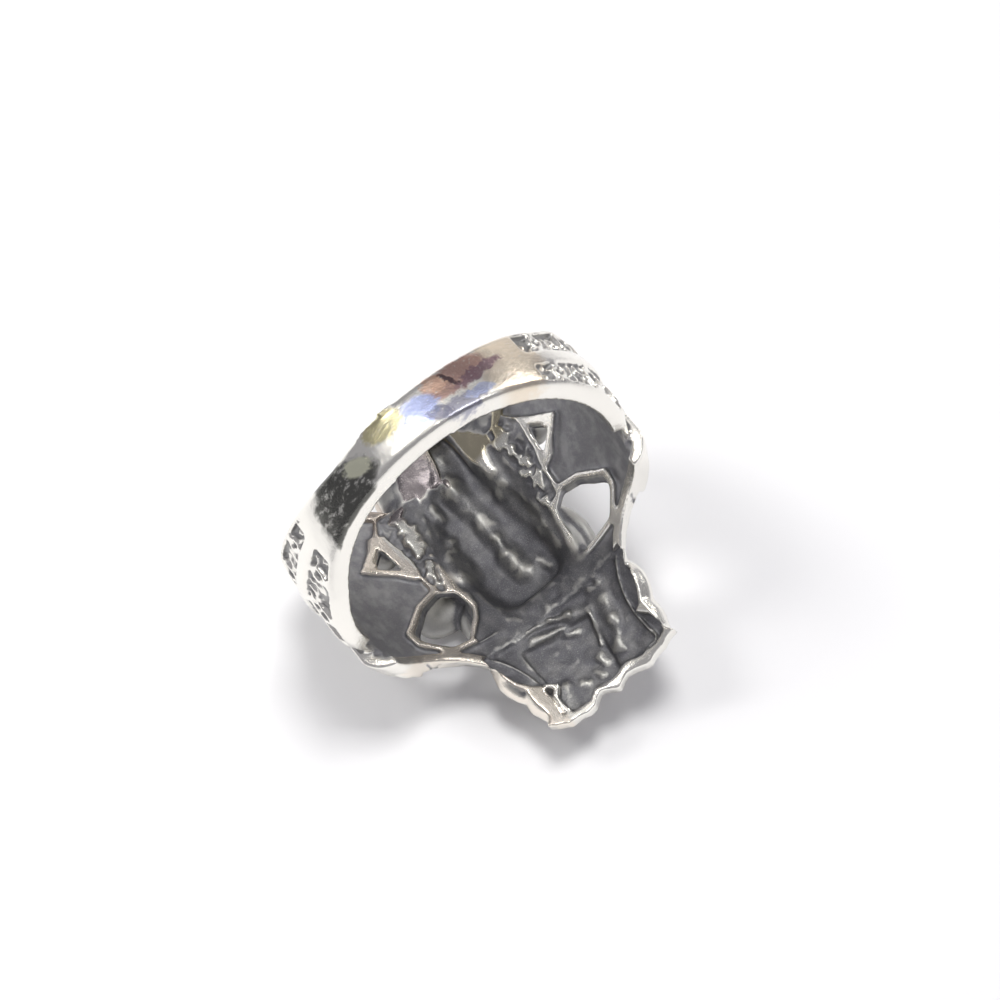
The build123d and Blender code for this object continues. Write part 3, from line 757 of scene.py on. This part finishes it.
def addFinish(ring):
    # what the finish needs to know of each point: black of the hollows, wear, depth and edges
    points, normals, edges, count = readMesh(ring.data)
    outward, inside = headPlaces(points, normals)
    radius = fromAxis(points)
    across, along = points[:, 0], points[:, 1]
    deep = ramp(radius - boreRadius, *headInside["black"])
    store(ring.data, "hollow", np.maximum(inside * deep, openingWalls(points, radius, outward)))
    store(ring.data, "worn", strokeFields(across, along, channelStrokes + crownStrokes)[1] * inside)
    strips = np.zeros(len(points))
    for edge in stripEdges:
        strips = np.maximum(strips, ramp(insideOutline(across, along, edge), *reading["stripEdge"]))
    store(ring.data, "strip", strips * inside)
    store(ring.data, "patch", strips * inside * falling(radius - boreRadius, reading["proud"]))
    inward = ramp(-outward, *reading["inwardFacing"]) * falling(radius, reading["inwardReach"])
    store(ring.data, "inward", inward)
    # where the band's back carries the painted dark reflection
    fray = roughness(points, reading["fraySize"], 3, 7) * reading["fray"]
    arc = np.arctan2(points[:, 0], -points[:, 2]) * bandCast["radius"]
    tarnish = ramp(insideOutline(arc + fray, along + fray, tarnishEdge), *reading["tarnishEdge"])
    tarnish *= (outward > reading["tarnishFacing"]) * (points[:, 2] < reading["tarnishBelow"])
    store(ring.data, "tarnish", tarnish)
    fine = settled(points, edges, count, reading["edgeRounds"], 1.0)
    broad = settled(fine, edges, count, reading["depthRounds"] - reading["edgeRounds"], 1.0)
    store(ring.data, "depth", np.einsum("ij,ij->i", broad - points, normals))
    store(ring.data, "edge", np.einsum("ij,ij->i", points - fine, normals))
    drawn = ring.data.attributes.new("drawn", "FLOAT_VECTOR", "POINT")
    drawn.data.foreach_set("vector", points.ravel())
    print("ring marked for its finish")


# Stains and painted reflections on the band's back: the yellow deposit is a stain, the beige, brown,
# purple, blue and dark patches are painted reflections, and the cream one is a painted highlight. Place
# in degrees from its middle and mm along the finger, size the same way, slant in degrees, colour, and
# how strong it is
Stain = namedtuple("Stain", "turn along turnSize alongSize slant colour strength")
stainsAndReflections = [
    Stain(41, -0.2, 13, 2.6, 0, (0.84, 0.74, 0.6, 1), 0.9),
    Stain(23, -0.9, 12, 1.0, -12, (0.6, 0.39, 0.33, 1), 0.95),
    Stain(16, -1.1, 5, 0.7, 10, (0.84, 0.57, 0.43, 1), 0.9),
    Stain(30, -0.5, 10, 0.42, -12, (0.34, 0.22, 0.26, 1), 0.9),
    Stain(20.5, -0.9, 0.9, 0.75, -25, (0.12, 0.08, 0.09, 1), 0.95),
    Stain(20, 0.9, 9, 0.6, 0, (0.36, 0.36, 0.45, 1), 0.85),
    Stain(26, 0.7, 5, 0.4, 0, (0.62, 0.68, 0.95, 1), 0.7),
    Stain(8, -0.2, 6.5, 1.05, 0, (0.55, 0.62, 0.95, 1), 0.9),
    Stain(12, 0.6, 4, 0.5, 20, (0.25, 0.25, 0.33, 1), 0.8),
    Stain(-4, -1.0, 7.5, 0.95, 0, (0.72, 0.66, 0.4, 1), 0.95),
    Stain(-17.5, -0.2, 5.5, 0.6, 25, (0.9, 0.9, 0.7, 1), 0.95),
]
creamHighlight = stainsAndReflections[-1]  # a painted highlight, which lies on top of the painted dark reflection too

# Where the band is painted with a dark reflection at the left: along the arc from its middle, and along the
# finger, in mm
tarnishEdge = [
    (-2.2, 0.4), (-3.4, -0.9), (-5.1, -1.7), (-6.6, -1.6), (-7.7, -0.5), (-7.95, 0.9), (-8.2, 3.4),
    (-6.2, 3.4), (-3.4, 1.5),
]

silver = {
    "bright": (0.92, 0.9, 0.84, 1),
    "black": (0.18, 0.18, 0.195, 1),
    "earBlack": (0.42, 0.42, 0.44, 1),
    "wornBlack": (0.75, 0.74, 0.68, 1),
    # colour of the painted dark reflection on the band's back
    "tarnish": (0.11, 0.11, 0.1, 1),
    # painted sheen: colours of reflections on the wall beside the trunk's hollow
    "sheenLeft": (0.13, 0.105, 0.12, 1),
    "sheenRight": (0.42, 0.37, 0.25, 1),
    "warmTint": (0.82, 0.73, 0.62, 1),
    "brightRoughness": 0.12,
    "cloudedRoughness": 0.22,
    "blackRoughness": 0.52,
    "dentStrength": 0.2,
    "dentHeight": 0.2,  # mm
    "pitStrength": 0.5,
    "pitHeight": 0.03,  # mm
    "rubbedGrain": 0.02,  # mm that the grain shifts a rubbed edge by
    "patchGrain": 0.06,
    "wobble": 1.5,  # mm, of the stains' rims round the band
    "wobbleAlong": 0.7,  # as a share of that
    "scratchStretch": (14.0, 2.2, 0.3),  # round the band, along the finger and from ear to ear
}

# Noise of the finish: how fine it is, its octaves and its roughness
textures = {
    "grain": (9.0, 4.0, 0.65),
    "speckle": (16.0, 3.0, 0.6),
    "smudge": (0.8, 4.0, 0.6),
    "cloud": (1.3, 3.0, 0.5),
    "dents": (0.9, 3.0, 0.5),
    "wobble": (1.9, 7.0, 0.72),
    "spots": (4.5, 4.0, 0.7),
    "scratches": (1.0, 4.0, 0.7),
}

# Where each part of the finish begins and is full: mm in the drawing, mm deep or proud, or a value of
# its noise
limits = {
    "dent": (0.01, 0.09),
    "edge": (0.006, 0.04),
    "patchEdge": (-0.04, 0.02),
    "grain": (0.25, 0.75),
    "speckle": (0.5, 0.75),
    "smudge": (0.4, 0.7),
    "cloud": (0.3, 0.75),
    "earSide": (4.2, 5.6),
    "earAlong": (6.5, 5.0),
    "earReach": (116.0, 110.0),  # square of the distance from the finger's axis
    "band": (-4.0, -5.0),
    "bandDepth": (0.15, 0.05),
    "stain": (1.1, 0.75),  # shares of its size
    "spots": (0.58, 0.68),
    "scratches": (0.5, 0.66),
    "sheenAlong": (-4.2, -5.0),
    "sheenHeight": (7.0, 8.0),
    "sheenHollow": (0.6, 0.2),  # share of the hollows' black
    "sheenSide": (-0.5, 1.0),
    "warmSide": (-3.4, -3.8),
    "warmHeight": (4.0, 5.0),
    "warmWear": (0.3, 0.1),  # share that is worn
}

# How strongly each part of the finish shows where it is full
shares = {
    "dent": 0.8,
    "strip": 0.8,
    "edge": 0.45,
    "worn": 0.55,
    "patch": 0.85,
    "speckle": 0.35,
    "smudge": 0.14,
    "earLeast": 0.6,
    "earSmudge": 0.4,
    "spots": 0.55,
    "scratches": 0.85,
    "tarnish": 0.95,
    "sheen": 0.85,
    "warm": 0.6,
    "clearedShine": 0.8,  # how far the rubbed black is smooth again
}

# What addFinish left on each point
Marks = namedtuple("Marks", "drawn x y z hollow depth edge worn strip patch inward tarnish")


def readMarks(finish):
    drawn = finish.attribute("drawn", 1)
    return Marks(drawn, *finish.parts(drawn), *[finish.attribute(name) for name in Marks._fields[4:]])


def stainOrReflectionMask(finish, place, stain):
    arcScale = math.radians(1) * bandCast["radius"]
    sockets = {
        "Vector": place,
        "Location": (stain.turn * arcScale, stain.along, 0),
        "Rotation": (0, 0, math.radians(stain.slant)),
        "Scale": (stain.turnSize * arcScale, stain.alongSize, 1),
    }
    mapped = finish.node("ShaderNodeMapping", {"vector_type": "TEXTURE"}, sockets)
    distance = finish.vectorMaths("LENGTH", mapped, (0, 0, 0), 1)
    return finish.between(distance, *limits["stain"], 0.0, stain.strength)


def hollowColour(finish, marks, cleared):
    # the black of the hollows: cloudy, paler inside the ears, and gone where it is rubbed
    speckle = finish.noise(marks.drawn, *textures["speckle"])
    smudge = finish.between(finish.noise(marks.drawn, *textures["smudge"]), *limits["smudge"])
    inEars = finish.between(finish.maths("ABSOLUTE", marks.x), *limits["earSide"])
    inEars = inEars * finish.between(marks.y, *limits["earAlong"])
    inEars = inEars * finish.between(marks.x * marks.x + marks.z * marks.z, *limits["earReach"])
    inEars = inEars * (shares["earLeast"] + smudge * shares["earSmudge"])
    black = finish.mix(inEars, silver["black"], silver["earBlack"])
    speckled = finish.between(speckle, *limits["speckle"], 0.0, shares["speckle"])
    black = finish.mix(speckled, black, silver["wornBlack"])
    black = finish.mix(smudge * shares["smudge"], black, silver["wornBlack"])
    return finish.mix(cleared, black, silver["wornBlack"])


def paintStainsAndReflections(finish, marks, base, outside):
    # stains and painted reflections on the band's back, their rims broken up by noise, and bright spots
    # among them
    turn = finish.maths("ARCTAN2", marks.x, marks.z * -1.0)
    wobble = (finish.noise(marks.drawn, *textures["wobble"]) - 0.5) * silver["wobble"]
    place = finish.vector(turn * bandCast["radius"] + wobble, marks.y + wobble * silver["wobbleAlong"], 0.0)
    onBand = finish.between(marks.z, *limits["band"]) * outside
    onBand = onBand * finish.between(marks.depth, *limits["bandDepth"])
    for stain in stainsAndReflections:
        base = finish.mix(stainOrReflectionMask(finish, place, stain) * onBand, base, stain.colour)
    spots = finish.between(finish.noise(marks.drawn, *textures["spots"]), *limits["spots"])
    base = finish.mix(spots * onBand * shares["spots"], base, silver["bright"])

    # the painted dark reflection at the left, with pale streaks, and the painted cream highlight on it
    turnStretch, alongStretch, acrossStretch = silver["scratchStretch"]
    stretched = finish.vector(turn * turnStretch, marks.y * alongStretch, marks.x * acrossStretch)
    scratches = finish.between(finish.noise(stretched, *textures["scratches"]), *limits["scratches"])
    darkReflectionColour = finish.mix(scratches * shares["scratches"], silver["tarnish"], silver["wornBlack"])
    base = finish.mix(marks.tarnish * shares["tarnish"], base, darkReflectionColour)
    return finish.mix(stainOrReflectionMask(finish, place, creamHighlight) * onBand, base, creamHighlight.colour)


def tintHead(finish, marks, base, outside):
    # painted reflections in purple and brown (sheen) on the wall beside the trunk's hollow, and a warm tint
    # on the left frames
    sheen = finish.between(marks.y, *limits["sheenAlong"]) * finish.between(marks.z, *limits["sheenHeight"])
    sheen = sheen * finish.between(marks.hollow, *limits["sheenHollow"]) * marks.inward
    sheenColour = finish.mix(
        finish.between(marks.x, *limits["sheenSide"]), silver["sheenLeft"], silver["sheenRight"]
    )
    base = finish.mix(sheen * shares["sheen"], base, sheenColour)
    warm = finish.between(marks.x, *limits["warmSide"]) * finish.between(marks.z, *limits["warmHeight"])
    warm = warm * finish.between(marks.worn + marks.patch, *limits["warmWear"]) * outside * marks.inward
    return finish.mix(warm * shares["warm"], base, silver["warmTint"])


def makeSilver():
    # worn silver, with painted reflections, a painted highlight and painted sheen on it
    finish = Finish("wornSilver")
    marks = readMarks(finish)
    grain = finish.noise(marks.drawn, *textures["grain"])
    outside = 1.0 - marks.hollow
    dent = finish.between(marks.depth, *limits["dent"]) * outside
    dark = finish.maths("MINIMUM", marks.hollow + dent * shares["dent"] + marks.strip * shares["strip"], 1.0)

    # where the black is rubbed off: at edges, on the modelled strokes and on the strips' worn patches
    rubbed = finish.between(marks.edge + (grain - 0.5) * silver["rubbedGrain"], *limits["edge"])
    cleared = rubbed * shares["edge"] + marks.worn * finish.between(grain, *limits["grain"]) * shares["worn"]
    patchEdge = finish.between(marks.edge + (grain - 0.5) * silver["patchGrain"], *limits["patchEdge"])
    cleared = finish.maths("MINIMUM", cleared + marks.patch * patchEdge * shares["patch"], 1.0)
    base = finish.mix(dark, silver["bright"], hollowColour(finish, marks, cleared))
    base = paintStainsAndReflections(finish, marks, base, outside)
    base = tintHead(finish, marks, base, outside)

    cloud = finish.noise(marks.drawn, *textures["cloud"])
    smooth = silver["brightRoughness"]
    rough = finish.between(cloud, *limits["cloud"], smooth, silver["cloudedRoughness"])
    rough = rough + dark * (1.0 - cleared * shares["clearedShine"]) * (silver["blackRoughness"] - smooth)
    dents = finish.noise(marks.drawn, *textures["dents"])
    dented = finish.bump(dents, silver["dentStrength"], silver["dentHeight"] * mm)
    pitted = finish.bump(grain, silver["pitStrength"], silver["pitHeight"] * mm, dented)
    sockets = {"Base Color": base, "Roughness": rough, "Metallic": 1.0, "Normal": pitted}
    print("silver made")
    return finish.surface(finish.node("ShaderNodeBsdfPrincipled", {}, sockets))


tableTop = {"colour": (0.93, 0.93, 0.945, 1), "roughness": 0.8, "halfSize": 1.5}  # half size in metres


def makeFloor():
    finish = Finish("paleTable")
    sockets = {"Base Color": tableTop["colour"], "Roughness": tableTop["roughness"]}
    shader = finish.node("ShaderNodeBsdfPrincipled", {}, sockets)
    table = bmesh.new()
    bmesh.ops.create_grid(table, x_segments=1, y_segments=1, size=tableTop["halfSize"])
    mesh = bpy.data.meshes.new("table")
    table.to_mesh(mesh)
    table.free()
    mesh.materials.append(finish.surface(shader))
    floor = objectFrom("table", mesh)
    print("table made")


view = {
    "towards": Vector((-0.285, -0.39, 0.875)),  # from the ring to the camera
    "distance": 200.0,  # mm
    "scale": 16.16,  # pixels of the picture to a millimetre at the ring
    "pixels": 1000,
    "nearest": 0.01,  # metres that the camera sees from
    "ringCentre": (453.0, 489.0),  # where the middle of the band's hole falls in the picture
}


def placeCamera():
    towards = view["towards"].normalized()
    turn = towards.to_track_quat("Z", "Y")
    right = turn @ Vector((1, 0, 0))
    up = turn @ Vector((0, 1, 0))
    across = (view["pixels"] / 2 - view["ringCentre"][0]) / view["scale"] * mm
    down = (view["pixels"] / 2 - view["ringCentre"][1]) / view["scale"] * mm
    aim = holeCentre + right * across - up * down
    lens = bpy.data.cameras.new("camera")
    lens.angle = 2 * math.atan(view["pixels"] / view["scale"] / 2 / view["distance"])
    lens.clip_start = view["nearest"]
    camera = bpy.data.objects.new("camera", lens)
    camera.location = aim + towards * view["distance"] * mm
    camera.rotation_euler = turn.to_euler()
    bpy.context.scene.collection.objects.link(camera)
    bpy.context.scene.camera = camera
    print("camera placed")


# Soft windows of the light tent: where each stands in metres, its size, strength and colour, and
# whether it lights the table or shines in the metal
Window = namedtuple("Window", "name place size watts colour onTable")
windows = [
    Window("tableAbove", (0.03, 0.035, 0.33), 0.1, 0.64, (1.0, 0.99, 0.97), True),
    Window("tableLeft", (-0.15, 0.15, 0.27), 0.1, 0.42, (1.0, 0.99, 0.96), True),
    Window("shineRight", (0.28, 0.03, 0.2), 0.1, 0.18, (1.0, 0.99, 0.96), False),
    Window("shineLeft", (-0.09, 0.07, 0.3), 0.08, 0.14, (1.0, 0.99, 0.97), False),
    Window("shineFront", (0.085, -0.135, 0.245), 0.06, 0.08, (1.0, 1.0, 1.0), False),
    Window("cardAbove", (0.03, -0.02, 0.36), 0.4, 0.3, (1.0, 0.99, 0.97), False),
    Window("cardRight", (0.25, 0.2, 0.1), 0.16, 0.042, (1.0, 0.94, 0.86), False),
]

room = {"colour": (0.95, 0.94, 1.0, 1), "strength": 0.35}


def lightStudio():
    world = bpy.data.worlds.new("room")
    world.use_nodes = True
    background = world.node_tree.nodes["Background"]
    background.inputs["Color"].default_value = room["colour"]
    background.inputs["Strength"].default_value = room["strength"]
    bpy.context.scene.world = world
    bpy.context.scene.view_settings.view_transform = "Standard"
    for window in windows:
        light = bpy.data.lights.new(window.name, "AREA")
        light.size = window.size
        light.energy = window.watts
        light.color = window.colour
        lamp = bpy.data.objects.new(window.name, light)
        lamp.location = window.place
        lamp.visible_diffuse = window.onTable
        lamp.visible_glossy = not window.onTable
        lamp.rotation_euler = (Vector(window.place) - holeCentre).to_track_quat("Z", "Y").to_euler()
        bpy.context.scene.collection.objects.link(lamp)
    print("studio lit:", len(windows), "windows")


def makeRing():
    ring = castRing()
    settleRing(ring, casting["settle"])
    shapeRing(ring)
    remeshed(ring, casting["fineVoxel"])
    settleRing(ring, casting["fineSettle"])
    thinned(ring)
    addFinish(ring)
    ring.data.transform(laidDown)
    ring.data.materials.clear()
    ring.data.materials.append(makeSilver())
    for face in ring.data.polygons:
        face.use_smooth = True
    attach(ring, "root")
    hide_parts("ganesha_ring")


makeRing()
makeFloor()
placeCamera()
lightStudio()
